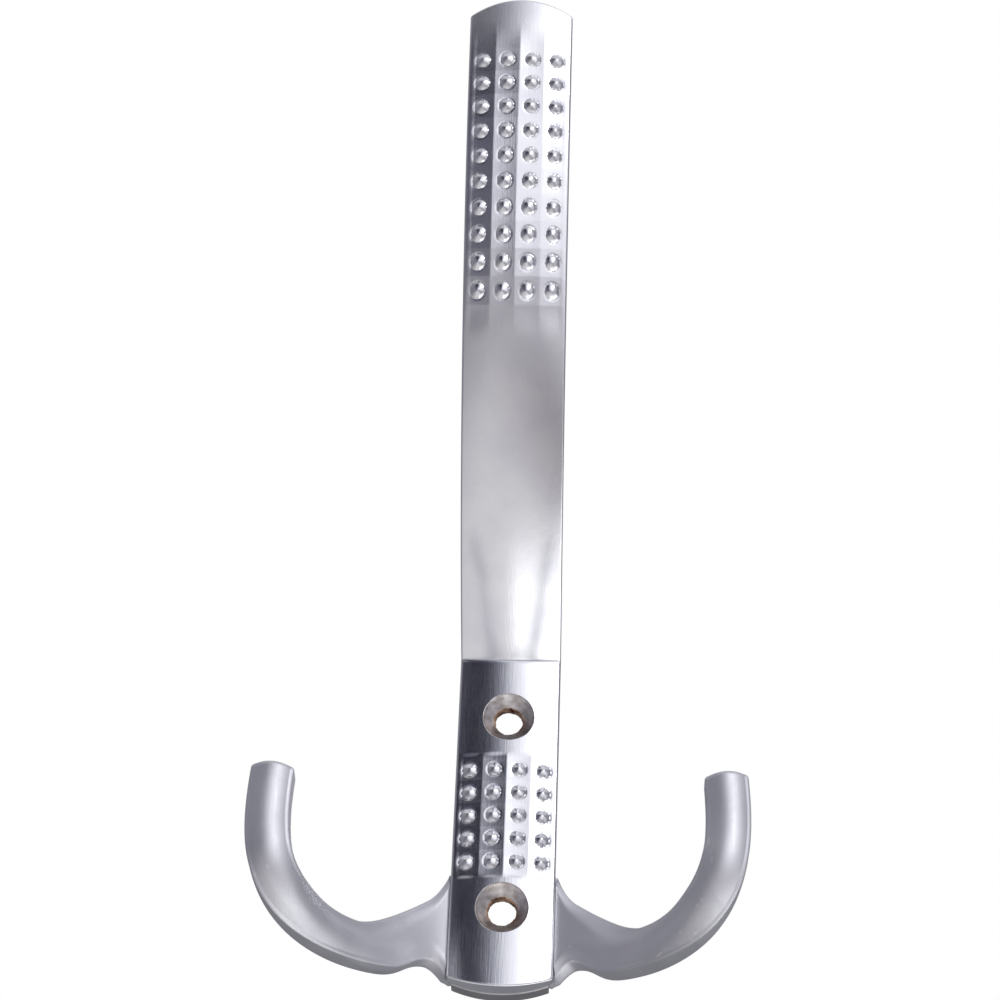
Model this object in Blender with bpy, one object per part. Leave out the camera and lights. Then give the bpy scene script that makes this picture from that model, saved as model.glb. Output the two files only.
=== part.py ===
"""Triple coat hook for a wall: two die castings, plated satin chrome.

Metres, +Z up.  The wall is the plane y = 0 and the hook stands out from it towards -Y.
The origin is on the wall, midway between the two screw holes.

front_strap   wall plate with two countersunk screw holes, and the long hat arm above it
double_hook   back plate with a hook on each side, riveted behind the front strap
"""

import math

import bmesh
import bpy
import numpy as np
from mathutils import Matrix, Vector

# Screw fixing
SCREW_SPACING = 0.032
SCREW_BORE = 0.0044
COUNTERSINK_DIAMETER = 0.0082
SCREW_CLEARANCE_HOLE = 0.0080

# Front strap: one slab section for the wall plate and the hat arm
STRAP_WIDTH = 0.0160
TIP_WIDTH = 0.0161
PLATE_THICKNESS = 0.0034
ARM_ROOT_THICKNESS = 0.0044
ARM_TIP_THICKNESS = 0.0034
CROWN_RADIUS = 0.0240
FRONT_EDGE_ROUND = 0.0004
BACK_EDGE_ROUND = 0.0003
PLATE_TOP = 0.0259
PLATE_FOOT = -0.0285
FOOT_ARC_RADIUS = 0.0195
ARM_ARC_RADIUS = 0.117
ARM_LEAN_AT_ROOT = math.radians(60.3)
ARM_LEAN_AT_TIP = math.radians(7.1)
TIP_ARC_RADIUS = 0.0155

# Grip studs: domes in a square grid, four in a row
DOT_DIAMETER = 0.00235
DOT_HEIGHT = 0.0007
DOT_SINK = 0.00007
DOT_PITCH = 0.00385
DOTS_ACROSS = 4
PLATE_DOT_ROWS = 5
PLATE_DOT_CENTRE = -0.0007
ARM_DOT_ROWS = 10
ARM_DOT_TOP_MARGIN = 0.0105

# Double hook: back plate behind the strap, and a bar swept to each side
BACK_PLATE_THICKNESS = 0.0033
BACK_PLATE_INSET = 0.0006
BACK_PLATE_TOP_DROP = 0.0022
HOOK_SPAN = 0.0649
HOOK_REACH = 0.0370
HOOK_TIP_HEIGHT = -0.0084
HOOK_BAR_WIDTH = 0.0069
HOOK_TIP_WIDTH = 0.0063
HOOK_BAR_DEPTH = 0.0048
HOOK_BAR_ROUND = 0.0013
HOOK_TIP_ROUND = 0.0009
HOOK_BACK_STANDOFF = 0.0006
HOOK_ROOT_OVERLAP = 0.0020
HOOK_ROOT_HEIGHT = -0.0199
HOOK_LOW_HEIGHT = -0.0261
HOOK_RISE_HEIGHT = -0.0353
HOOK_SWEEP_INSET = 0.0114
HOOK_BULGE = 0.0022
HOOK_REACH_DONE = 0.84
WEB_FLARE = 0.0057
WEB_FLARE_LENGTH = 0.0127
WEB_FLARE_POWER = 1.3
WEB_FILLET = 0.0026
WEB_FILLET_LENGTH = 0.0032
WEB_FOOT = 0.0030
WEB_FOOT_LENGTH = 0.0032
WEB_ARCH = 0.0015
WEB_ARCH_PLACE = 0.0042
WEB_ARCH_SPREAD = 0.0030

# Rivet studs cast on the strap's back, peened over in the back plate
RIVET_SPACING = 0.0140
RIVET_DIAMETER = 0.0030
RIVET_HEAD_DIAMETER = 0.0048
RIVET_HEAD_THICKNESS = 0.0010
RIVET_HEAD_BEVEL = 0.0005
RIVET_HEAD_RECESS = 0.0003

# Clearance between the two castings
FIT_GAP = 0.0003
CUT_OVERSHOOT = 0.002

STRAP_BACK_Y = -(BACK_PLATE_THICKNESS + FIT_GAP)
FRONT_Y = STRAP_BACK_Y - PLATE_THICKNESS


def clear_scene():
    for item in list(bpy.data.objects):
        bpy.data.objects.remove(item, do_unlink=True)


def satin_chrome(name, colour, roughness):
    material = bpy.data.materials.new(name)
    material.use_nodes = True
    shader = material.node_tree.nodes["Principled BSDF"]
    shader.inputs["Base Color"].default_value = (*colour, 1.0)
    shader.inputs["Metallic"].default_value = 1.0
    shader.inputs["Roughness"].default_value = roughness
    return material


def add_object(name, points, faces, material=None):
    mesh = bpy.data.meshes.new(name)
    mesh.from_pydata([tuple(point) for point in points], [], faces)
    mesh.validate()
    builder = bmesh.new()
    builder.from_mesh(mesh)
    bmesh.ops.recalc_face_normals(builder, faces=builder.faces)
    builder.to_mesh(mesh)
    builder.free()
    mesh.shade_smooth()
    mesh.set_sharp_from_angle(angle=math.radians(35))
    item = bpy.data.objects.new(name, mesh)
    bpy.context.scene.collection.objects.link(item)
    if material:
        mesh.materials.append(material)
    return item


def as_helper(item):
    item.hide_render = True
    item.display_type = "WIRE"
    return item


def boolean(target, helper, operation):
    step = target.modifiers.new(f"{operation.lower()} {helper.name}", "BOOLEAN")
    step.operation = operation
    step.solver = "EXACT"
    step.object = as_helper(helper)


def skin(ring_count, ring_size):
    """Quads between successive rings of the same number of points."""
    return [
        (
            ring * ring_size + i,
            ring * ring_size + (i + 1) % ring_size,
            (ring + 1) * ring_size + (i + 1) % ring_size,
            (ring + 1) * ring_size + i,
        )
        for ring in range(ring_count - 1)
        for i in range(ring_size)
    ]


def turned(name, profile, centre, segments=40):
    """A solid turned about an axis along Y; profile is (radius, y) from front to back."""
    points = [Vector((0, profile[0][1], 0)), Vector((0, profile[-1][1], 0))]
    for radius, y in profile:
        for i in range(segments):
            angle = 2 * math.pi * (i + 0.5) / segments
            points.append(Vector((radius * math.cos(angle), y, radius * math.sin(angle))))
    faces = [tuple(2 + index for index in face) for face in skin(len(profile), segments)]
    last = 2 + (len(profile) - 1) * segments
    for i in range(segments):
        j = (i + 1) % segments
        faces.append((0, 2 + i, 2 + j))
        faces.append((1, last + i, last + j))
    return add_object(name, [point + Vector(centre) for point in points], faces)


# ---------------------------------------------------------------- strap geometry

def crown_drop(x):
    """How far the crowned front lies behind its middle line at x."""
    return CROWN_RADIUS - np.sqrt(CROWN_RADIUS**2 - x**2)


def arm_lean(height):
    """The arm's angle from upright at a height above the plate's top."""
    return np.arcsin(np.sin(ARM_LEAN_AT_ROOT) - height / ARM_ARC_RADIUS)


def arm_point(lean):
    """Middle of the arm's front (y, z) where it leans by this angle; the arm is one arc."""
    out = ARM_ARC_RADIUS * (np.cos(lean) - np.cos(ARM_LEAN_AT_ROOT))
    up = ARM_ARC_RADIUS * (np.sin(ARM_LEAN_AT_ROOT) - np.sin(lean))
    return FRONT_Y - out, PLATE_TOP + up


def end_arc(x, radius):
    """How far a round end falls short at x."""
    return radius - np.sqrt(radius**2 - x**2)


def strap_section(width, thickness, columns=13, corner_steps=3):
    """Half of the points run over the front, half back: (x, depth behind the front's middle)."""
    half = width / 2
    edge = half - FRONT_EDGE_ROUND
    front = [(x, crown_drop(x)) for x in np.linspace(-edge, edge, columns + 1)]
    base = crown_drop(edge)
    slope = math.asin(edge / CROWN_RADIUS)
    corner = []
    for step in range(1, corner_steps + 1):
        turn = slope + (math.pi / 2 - slope) * step / corner_steps
        across = FRONT_EDGE_ROUND * (math.sin(turn) - math.sin(slope))
        down = FRONT_EDGE_ROUND * (math.cos(slope) - math.cos(turn))
        corner.append((edge + across / (1 - math.sin(slope)), base + down))
    front = [(-x, d) for x, d in reversed(corner)] + front + corner
    back = [(x, thickness) for x, _ in front]
    back[0] = (-half, thickness - BACK_EDGE_ROUND)
    back[-1] = (half, thickness - BACK_EDGE_ROUND)
    return front + back[::-1]


def strap_rings():
    """Rings from the plate's foot to its top, then up the arm to the tip."""
    rings = []
    plate_stations = 8
    for share in np.arange(plate_stations) / plate_stations:
        ring = []
        for x, depth in strap_section(STRAP_WIDTH, PLATE_THICKNESS):
            foot = PLATE_FOOT + end_arc(x, FOOT_ARC_RADIUS)
            ring.append((x, FRONT_Y + depth, foot + share * (PLATE_TOP - foot)))
        rings.append(ring)
    arm_stations = 26
    mitre = ARM_LEAN_AT_ROOT / 2
    for station in range(arm_stations + 1):
        share = station / arm_stations
        width = STRAP_WIDTH + (TIP_WIDTH - STRAP_WIDTH) * share**3
        thickness = ARM_ROOT_THICKNESS + (ARM_TIP_THICKNESS - ARM_ROOT_THICKNESS) * share
        if station == 0:
            thickness = PLATE_THICKNESS
        ring = []
        for x, depth in strap_section(width, thickness):
            short = end_arc(x, TIP_ARC_RADIUS) / ARM_ARC_RADIUS
            lean = ARM_LEAN_AT_ROOT + (ARM_LEAN_AT_TIP + short - ARM_LEAN_AT_ROOT) * share
            y, z = arm_point(lean)
            if station == 0:
                ring.append((x, y + depth, z + depth * math.tan(mitre)))
            else:
                ring.append((x, y + depth * math.cos(lean), z + depth * math.sin(lean)))
        rings.append(ring)
    return rings


def strap_body(material):
    rings = strap_rings()
    size = len(rings[0])
    points = [point for ring in rings for point in ring]
    faces = skin(len(rings), size)
    for start in (0, (len(rings) - 1) * size):
        for i in range(size // 2 - 1):
            faces.append((start + i, start + i + 1, start + size - 2 - i, start + size - 1 - i))
    return add_object("front_strap", points, faces, material)


def dot_columns():
    return [(column - (DOTS_ACROSS - 1) / 2) * DOT_PITCH for column in range(DOTS_ACROSS)]


def dome(x, y, z, lean):
    """Flattened ball sunk just past its waist in the front; its outline is round seen along Y."""
    ball = bmesh.new()
    bmesh.ops.create_uvsphere(ball, u_segments=10, v_segments=6, radius=1.0)
    radius = DOT_DIAMETER / 2
    size = Matrix.Diagonal((radius, radius / math.cos(lean), DOT_HEIGHT, 1.0))
    turn = Matrix.Rotation(math.pi / 2 + lean, 4, "X")
    inward = Vector((0.0, math.cos(lean), math.sin(lean)))
    ball.transform(Matrix.Translation(Vector((x, y, z)) + DOT_SINK * inward) @ turn @ size)
    ball.verts.ensure_lookup_table()
    points = [vert.co.copy() for vert in ball.verts]
    faces = [tuple(vert.index for vert in face.verts) for face in ball.faces]
    ball.free()
    return points, faces


def grip_dots():
    points = []
    faces = []

    def place(x, y, z, lean):
        new_points, new_faces = dome(x, y, z, lean)
        start = len(points)
        points.extend(new_points)
        faces.extend(tuple(start + index for index in face) for face in new_faces)

    for row in range(PLATE_DOT_ROWS):
        z = PLATE_DOT_CENTRE + (row - (PLATE_DOT_ROWS - 1) / 2) * DOT_PITCH
        for x in dot_columns():
            place(x, FRONT_Y + crown_drop(x), z, 0.0)
    tip_z = arm_point(ARM_LEAN_AT_TIP)[1]
    for row in range(ARM_DOT_ROWS):
        height = tip_z - ARM_DOT_TOP_MARGIN - row * DOT_PITCH - PLATE_TOP
        lean = float(arm_lean(height))
        y, z = arm_point(lean)
        for x in dot_columns():
            drop = crown_drop(x)
            place(x, y + drop * math.cos(lean), z + drop * math.sin(lean), lean)
    return add_object("grip_dot_domes", points, faces)


def screw_cutter(side):
    bore = SCREW_BORE / 2
    rim = COUNTERSINK_DIAMETER / 2
    drop = crown_drop(rim) / 2
    seat = FRONT_Y + drop
    profile = [
        (rim, FRONT_Y - CUT_OVERSHOOT),
        (rim, seat),
        (bore, seat + rim - bore),
        (bore, STRAP_BACK_Y + CUT_OVERSHOOT),
    ]
    return turned(f"screw_cutter_{side}", profile, (0, 0, side * SCREW_SPACING / 2))


def rivet_stud(side):
    shank = RIVET_DIAMETER / 2
    head = RIVET_HEAD_DIAMETER / 2
    top = -RIVET_HEAD_RECESS
    profile = [
        (shank, STRAP_BACK_Y - FIT_GAP),
        (shank, top - RIVET_HEAD_THICKNESS),
        (head, top - RIVET_HEAD_THICKNESS),
        (head, top - RIVET_HEAD_BEVEL),
        (head - RIVET_HEAD_BEVEL, top),
    ]
    return turned(f"rivet_stud_{side}", profile, (0, 0, side * RIVET_SPACING / 2), segments=24)


def build_front_strap():
    material = satin_chrome("satin_chrome_strap", (0.72, 0.73, 0.76), 0.28)
    strap = strap_body(material)
    boolean(strap, grip_dots(), "UNION")
    for side in (-1, 1):
        boolean(strap, rivet_stud(side), "UNION")
        boolean(strap, screw_cutter(side), "DIFFERENCE")
    return strap


# ---------------------------------------------------------------- double hook geometry

def back_plate(material):
    """Flat plate with the strap's foot arc, a little narrower and shorter than the strap."""
    half = STRAP_WIDTH / 2 - BACK_PLATE_INSET
    top = PLATE_TOP - BACK_PLATE_TOP_DROP
    outline = [(x, PLATE_FOOT + end_arc(x, FOOT_ARC_RADIUS)) for x in np.linspace(-half, half, 17)]
    outline += [(half, top), (-half, top)]
    points = [(x, y, z) for y in (-BACK_PLATE_THICKNESS, 0.0) for x, z in outline]
    count = len(outline)
    faces = skin(2, count) + [tuple(range(count)), tuple(range(count, 2 * count))]
    return add_object("double_hook", points, faces, material)


def hook_control_points():
    """Cubic curve of the bar's middle: level out of the strap's side, then forward and up."""
    tip_x = HOOK_SPAN / 2
    root_y = -(HOOK_BACK_STANDOFF + HOOK_BAR_DEPTH / 2)
    return np.array([
        (STRAP_WIDTH / 2 - HOOK_ROOT_OVERLAP, root_y, HOOK_ROOT_HEIGHT),
        (tip_x - HOOK_SWEEP_INSET, root_y, HOOK_LOW_HEIGHT),
        (tip_x + HOOK_BULGE, -HOOK_REACH, HOOK_RISE_HEIGHT),
        (tip_x, -HOOK_REACH, HOOK_TIP_HEIGHT),
    ])


def hook_frame(t):
    """Point, direction, inward and depth directions of the bar at t from 0 to 1.

    The bar has come all the way forward at HOOK_REACH_DONE and stands upright from there.
    Sections stand upright where the web leaves the strap and turn square to the bar beyond it.
    """
    a, b, c, d = hook_control_points()
    s = 1 - t
    point = s**3 * a + 3 * s * s * t * b + 3 * s * t * t * c + t**3 * d
    along = 3 * (s * s * (b - a) + 2 * s * t * (c - b) + t * t * (d - c))
    ahead = min(t / HOOK_REACH_DONE, 1.0)
    point[1] = a[1] + (d[1] - a[1]) * ahead * ahead * (3 - 2 * ahead)
    along[1] = (d[1] - a[1]) * 6 * ahead * (1 - ahead) / HOOK_REACH_DONE
    along = along / np.linalg.norm(along)
    depth = np.array((0.0, 1.0, 0.0)) - along[1] * along
    depth = depth / np.linalg.norm(depth)
    away = min(max((point[0] - STRAP_WIDTH / 2) / WEB_FLARE_LENGTH, 0.0), 1.0)
    turn = away * away * (3 - 2 * away)
    inward = (1 - turn) * np.array((0.0, 0.0, 1.0)) + turn * np.cross(along, depth)
    return point, along, inward / np.linalg.norm(inward), depth


def web_offsets(x, half_width):
    """Reach of the section to the inner (upper) and outer (lower) side at distance x."""
    out = max(x - STRAP_WIDTH / 2, 0.0)
    inner = half_width
    if out < WEB_FLARE_LENGTH:
        inner += WEB_FLARE * (1 - out / WEB_FLARE_LENGTH) ** WEB_FLARE_POWER
    if out < WEB_FILLET_LENGTH:
        inner += WEB_FILLET * (1 - out / WEB_FILLET_LENGTH) ** 2
    outer = half_width - WEB_ARCH * math.exp(-(((out - WEB_ARCH_PLACE) / WEB_ARCH_SPREAD) ** 2))
    if out < WEB_FOOT_LENGTH:
        outer += WEB_FOOT * (1 - out / WEB_FOOT_LENGTH) ** 2
    return inner, outer


def bar_section(inner, outer, half_depth, corner_round, corner_steps=4):
    """Rounded oblong: (towards the inner side, towards the wall)."""
    points = []
    corners = (
        (inner - corner_round, half_depth - corner_round, 0.0),
        (-outer + corner_round, half_depth - corner_round, 90.0),
        (-outer + corner_round, -half_depth + corner_round, 180.0),
        (inner - corner_round, -half_depth + corner_round, 270.0),
    )
    for u, v, start in corners:
        for step in range(corner_steps + 1):
            angle = math.radians(start + 90.0 * step / corner_steps)
            points.append((u + corner_round * math.cos(angle), v + corner_round * math.sin(angle)))
    return points


def side_bar(side):
    stations = 44
    tip_steps = 4
    rings = []
    for station in range(stations + 1):
        t = station / stations
        point, along, inward, depth = hook_frame(t)
        half_width = (HOOK_BAR_WIDTH + (HOOK_TIP_WIDTH - HOOK_BAR_WIDTH) * t) / 2
        inner, outer = web_offsets(point[0], half_width)
        section = bar_section(inner, outer, HOOK_BAR_DEPTH / 2, HOOK_BAR_ROUND)
        rings.append([point + u * inward + v * depth for u, v in section])
    for step in range(1, tip_steps + 1):
        angle = math.pi / 2 * step / tip_steps
        inset = HOOK_TIP_ROUND * (1 - math.cos(angle))
        ahead = HOOK_TIP_ROUND * math.sin(angle)
        corner_round = HOOK_BAR_ROUND - inset
        section = bar_section(inner - inset, outer - inset, HOOK_BAR_DEPTH / 2 - inset, corner_round)
        rings.append([point + ahead * along + u * inward + v * depth for u, v in section])
    size = len(rings[0])
    points = [(side * x, y, z) for ring in rings for x, y, z in ring]
    faces = skin(len(rings), size)
    faces += [tuple(range(size)), tuple(range((len(rings) - 1) * size, len(rings) * size))]
    return add_object(f"side_bar_{side}", points, faces)


def strap_seat_cutter():
    """Room for the strap's slab in front of the back plate, with the fit gap all round."""
    half = STRAP_WIDTH / 2 + FIT_GAP
    low = PLATE_FOOT - CUT_OVERSHOOT
    high = PLATE_TOP + CUT_OVERSHOOT
    cube = bmesh.new()
    bmesh.ops.create_cube(cube, size=1.0)
    depth = HOOK_BAR_DEPTH + 2 * CUT_OVERSHOOT
    place = Matrix.Translation((0, -BACK_PLATE_THICKNESS - depth / 2, (low + high) / 2))
    cube.transform(place @ Matrix.Diagonal((2 * half, depth, high - low, 1.0)))
    cube.verts.ensure_lookup_table()
    points = [vert.co.copy() for vert in cube.verts]
    faces = [tuple(vert.index for vert in face.verts) for face in cube.faces]
    cube.free()
    return add_object("strap_seat_cutter", points, faces)


def through_cutter(name, radius, height):
    profile = [
        (radius, -BACK_PLATE_THICKNESS - CUT_OVERSHOOT),
        (radius, CUT_OVERSHOOT),
    ]
    return turned(name, profile, (0, 0, height))


def rivet_hole_cutter(side):
    hole = RIVET_DIAMETER / 2 + FIT_GAP
    counterbore = RIVET_HEAD_DIAMETER / 2 + FIT_GAP
    floor = -(RIVET_HEAD_RECESS + RIVET_HEAD_THICKNESS + FIT_GAP)
    profile = [
        (hole, -BACK_PLATE_THICKNESS - CUT_OVERSHOOT),
        (hole, floor),
        (counterbore, floor),
        (counterbore, CUT_OVERSHOOT),
    ]
    return turned(f"rivet_hole_cutter_{side}", profile, (0, 0, side * RIVET_SPACING / 2), segments=24)


def build_double_hook():
    material = satin_chrome("satin_chrome_hooks", (0.66, 0.67, 0.71), 0.34)
    hook = back_plate(material)
    for side in (-1, 1):
        boolean(hook, side_bar(side), "UNION")
    boolean(hook, strap_seat_cutter(), "DIFFERENCE")
    for side in (-1, 1):
        name = f"screw_clearance_cutter_{side}"
        boolean(hook, through_cutter(name, SCREW_CLEARANCE_HOLE / 2, side * SCREW_SPACING / 2), "DIFFERENCE")
        boolean(hook, rivet_hole_cutter(side), "DIFFERENCE")
    return hook


clear_scene()
build_front_strap()
build_double_hook()
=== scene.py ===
import math

import bmesh
import bpy
import numpy as np
from mathutils import Matrix, geometry


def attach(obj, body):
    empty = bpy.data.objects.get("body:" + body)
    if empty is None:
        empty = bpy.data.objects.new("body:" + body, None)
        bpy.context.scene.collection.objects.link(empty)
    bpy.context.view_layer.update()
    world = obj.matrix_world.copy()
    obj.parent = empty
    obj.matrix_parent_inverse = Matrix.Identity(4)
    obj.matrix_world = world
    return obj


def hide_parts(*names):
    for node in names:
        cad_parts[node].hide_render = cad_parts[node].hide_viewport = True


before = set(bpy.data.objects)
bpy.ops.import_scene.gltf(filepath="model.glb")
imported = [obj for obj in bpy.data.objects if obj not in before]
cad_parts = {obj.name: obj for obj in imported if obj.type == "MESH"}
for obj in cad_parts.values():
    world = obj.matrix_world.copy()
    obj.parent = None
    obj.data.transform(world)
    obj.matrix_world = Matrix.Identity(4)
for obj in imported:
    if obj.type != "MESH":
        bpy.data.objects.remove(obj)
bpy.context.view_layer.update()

for leftover in [item for item in bpy.data.objects if item.type in ("CAMERA", "LIGHT")]:
    bpy.data.objects.remove(leftover, do_unlink=True)


# ---------------------------------------------------------------- front strap casting
# One zinc die casting: the screw plate, and the long hat arm that leaves it at a crease and
# curves upright.  Its front is crowned, pressed with fluted panels of grip studs, brushed and
# plated satin chrome.  Two countersunk screws hold it, and the back plate behind it, to the wall.

SCREW_SPACING = 0.032
SCREW_BORE = 0.0044
COUNTERSINK_DIAMETER = 0.0082
RIM_ROUND = 0.00009
STRAP_WIDTH = 0.0160
TIP_WIDTH = 0.0161
PLATE_THICKNESS = 0.0034
ARM_ROOT_THICKNESS = 0.0044
ARM_TIP_THICKNESS = 0.0034
CROWN_RADIUS = 0.0240
FRONT_EDGE_ROUND = 0.0004
END_ROUND = 0.0003
BACK_EDGE_BEVEL = 0.0002
PLATE_TOP = 0.0259
PLATE_FOOT = -0.0285
FOOT_ARC_RADIUS = 0.0195
ARM_ARC_RADIUS = 0.117
ARM_LEAN_AT_ROOT = math.radians(60.3)
ARM_LEAN_AT_TIP = math.radians(7.1)
TIP_ARC_RADIUS = 0.0155
STRAP_BACK_Y = -0.0036
FRONT_Y = STRAP_BACK_Y - PLATE_THICKNESS

DOT_PITCH = 0.00385
DOT_RADIUS = 0.00107
DOT_HEIGHT = 0.00062
DOT_GROOVE = 0.00005
PLATE_GRIP_FADE = 0.0011
ARM_GRIP_FADE = 0.0050
EDGE_FADE = 0.0007
FLUTE_DEPTH = 0.00012
PLATE_DISH = 0.00008
ARM_DISH = 0.00003
CREASE_GROOVE = 0.00010
CREASE_WIDTH = 0.00022
PLATE_DOT_ROWS = 5
PLATE_DOT_CENTRE = -0.0007
ARM_DOT_ROWS = 10
ARM_DOT_TOP_MARGIN = 0.0105

STRAP_HALF = STRAP_WIDTH / 2
STRAP_EDGE = STRAP_HALF - FRONT_EDGE_ROUND
EDGE_SLOPE = math.asin(STRAP_EDGE / CROWN_RADIUS)
MITRE = math.tan(ARM_LEAN_AT_ROOT / 2)
FRONT_COLUMNS = 100
CORNER_STEPS = 5
END_STEPS = 6


def crown_drop(x):
    """Depth of the crowned front behind its middle line: a circular arc across the strap."""
    return CROWN_RADIUS - np.sqrt(CROWN_RADIUS**2 - x**2)


def end_arc(x, radius):
    """How far a round end falls short of its middle at x."""
    return radius - np.sqrt(radius**2 - np.clip(x, -STRAP_HALF, STRAP_HALF) ** 2)


def strap_section(inset):
    """Across-positions and depths of the section, back edge to back edge over the front.

    The front follows the crown; a quarter round of FRONT_EDGE_ROUND turns it into the side.
    An inset shrinks the section by that much all round, which rounds off the strap's ends.
    """
    front = np.linspace(-STRAP_EDGE, STRAP_EDGE, FRONT_COLUMNS + 1)
    turn = EDGE_SLOPE + (math.pi / 2 - EDGE_SLOPE) * np.arange(1, CORNER_STEPS + 1) / CORNER_STEPS
    corner_radius = FRONT_EDGE_ROUND - inset
    slope = math.sin(EDGE_SLOPE)
    corner_x = STRAP_EDGE + corner_radius * (np.sin(turn) - slope) / (1 - slope)
    base = crown_drop(STRAP_EDGE) + inset
    corner_depth = base + corner_radius * (math.cos(EDGE_SLOPE) - np.cos(turn))
    side = STRAP_HALF - inset
    right_x = np.concatenate([corner_x, [side, side - BACK_EDGE_BEVEL]])
    right_depth = np.concatenate([corner_depth, [-BACK_EDGE_BEVEL, 0.0]])
    x = np.concatenate([-right_x[::-1], front, right_x])
    depth = np.concatenate([right_depth[::-1], crown_drop(front) + inset, right_depth])
    return x, depth, len(corner_x)


def with_thickness(depth, thickness):
    """Depths of one row of the strap; the outer two at each side hang on the thickness."""
    full = np.repeat(depth[None, :], len(thickness), axis=0)
    full[:, [0, 1, -2, -1]] += thickness[:, None]
    return full


def plate_grid():
    """The wall plate from its rounded foot to the crease, as (rows, columns, 3) points.

    Rows run along the foot's arc at first and straighten by the lower screw hole; the top rows
    lean back into the mitre plane, where the arm begins.
    """
    straight_from = -0.0222
    mitre_from = 0.0222
    rows = []
    for angle in np.radians(np.linspace(90.0, 0.0, END_STEPS + 1)[:-1]):
        x, depth, _ = strap_section(END_ROUND * (1 - math.cos(angle)))
        depth = with_thickness(depth, np.array([PLATE_THICKNESS]))[0]
        z = PLATE_FOOT + end_arc(x, FOOT_ARC_RADIUS) + END_ROUND * (1 - math.sin(angle))
        rows.append(np.stack([x, FRONT_Y + depth, z], axis=1))
    x, depth, _ = strap_section(0.0)
    depth = with_thickness(depth, np.array([PLATE_THICKNESS]))[0]
    arc = PLATE_FOOT + end_arc(x, FOOT_ARC_RADIUS) + END_ROUND
    share = np.linspace(0, 1, 34)[:-1, None]
    curved = arc + share * (straight_from - arc)
    height = np.linspace(straight_from, PLATE_TOP, 331)[:, None]
    lean_back = np.clip((height - mitre_from) / (PLATE_TOP - mitre_from), 0, 1) ** 2
    z = np.concatenate([curved, height + lean_back * depth * MITRE])
    body = np.stack(np.broadcast_arrays(x, FRONT_Y + depth, z), axis=2)
    return np.concatenate([np.array(rows), body])


def arm_middle(lean):
    """The arm's front middle line (y, z) where it leans by this angle: one circular arc."""
    y = FRONT_Y - ARM_ARC_RADIUS * (np.cos(lean) - math.cos(ARM_LEAN_AT_ROOT))
    z = PLATE_TOP + ARM_ARC_RADIUS * (math.sin(ARM_LEAN_AT_ROOT) - np.sin(lean))
    return y, z


def on_arm(x, depth, lean, share):
    """Points of the arm: across x, sunk by depth square to the arc at this lean."""
    y, z = arm_middle(lean)
    wide = x * (1 + (TIP_WIDTH / STRAP_WIDTH - 1) * share**3)
    return np.stack(np.broadcast_arrays(wide, y + depth * np.cos(lean), z + depth * np.sin(lean)), axis=-1)


def arm_grid():
    """The hat arm from the crease to its rounded tip, as (rows, columns, 3) points.

    Each lengthwise line starts in the mitre plane and ends at the tip's arc; rows are dense
    where the studs are and at the crease, and wide apart on the plain stretch between.
    """
    share = np.concatenate([
        np.linspace(0.0, 0.03, 16)[1:],
        np.linspace(0.03, 0.49, 62)[1:],
        np.linspace(0.49, 1.0, 345)[1:],
    ])[:, None]
    x, depth, _ = strap_section(0.0)
    thickness = ARM_ROOT_THICKNESS + (ARM_TIP_THICKNESS - ARM_ROOT_THICKNESS) * share[:, 0]
    swell = np.clip(share[:, 0] / 0.04, 0, 1)
    thickness = PLATE_THICKNESS + (thickness - PLATE_THICKNESS) * swell * swell * (3 - 2 * swell)
    depth = with_thickness(depth, thickness)
    start = ARM_LEAN_AT_ROOT + depth * MITRE / (ARM_ARC_RADIUS - depth)
    end = ARM_LEAN_AT_TIP + (end_arc(x, TIP_ARC_RADIUS) + END_ROUND) / ARM_ARC_RADIUS
    body = on_arm(x, depth, start + (end - start) * share, share)
    rows = []
    for angle in np.radians(np.linspace(0.0, 90.0, END_STEPS + 1)[1:]):
        x, depth, _ = strap_section(END_ROUND * (1 - math.cos(angle)))
        depth = with_thickness(depth, np.array([ARM_TIP_THICKNESS]))[0]
        short = end_arc(x, TIP_ARC_RADIUS) + END_ROUND * (1 - math.sin(angle))
        rows.append(on_arm(x, depth, ARM_LEAN_AT_TIP + short / ARM_ARC_RADIUS, 1.0))
    return np.concatenate([body, np.array(rows)])


def grip_relief(x, height, rows, centre, fade, dish):
    """Height of the pressed grip pattern over the crowned front at (x, height).

    Each column is a shallow concave flute between cusps, each row a slight dish, and each
    crossing carries a pointed dome in a fine groove.  The pattern fades out over `fade` beyond
    its last rows and just inside the strap's edges.
    """
    column = np.clip(np.round(x / DOT_PITCH + 0.5), -1, 2) - 0.5
    across = (x - column * DOT_PITCH) / (DOT_PITCH / 2)
    first = -(rows - 1) / 2
    row = np.clip(np.round((height - centre) / DOT_PITCH - first), 0, rows - 1) + first
    along = (height - centre - row * DOT_PITCH) / (DOT_PITCH / 2)
    along_any = (((height - centre) / DOT_PITCH - first + 0.5) % 1.0) * 2 - 1
    beyond = np.abs(height - centre) - rows * DOT_PITCH / 2
    inside = np.clip(1 - beyond / fade, 0, 1)
    inside = inside * inside * (3 - 2 * inside)
    margin = np.clip((STRAP_EDGE - np.abs(x)) / EDGE_FADE, 0, 1)
    hollow = FLUTE_DEPTH * np.clip(1 - across**2, 0, 1) + dish * (1 - along_any**2)
    radius = np.hypot(across, along) * (DOT_PITCH / 2) / DOT_RADIUS
    ball = np.sqrt(np.clip(1 - radius**2, 0, 1))
    cone = np.clip(1 - radius, 0, 1)
    dome = DOT_HEIGHT * (0.4 * ball + 0.6 * cone)
    groove = DOT_GROOVE * np.exp(-(((radius - 1.09) / 0.10) ** 2))
    return dome - groove * (np.abs(along) < 1) - hollow * inside * margin


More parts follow.
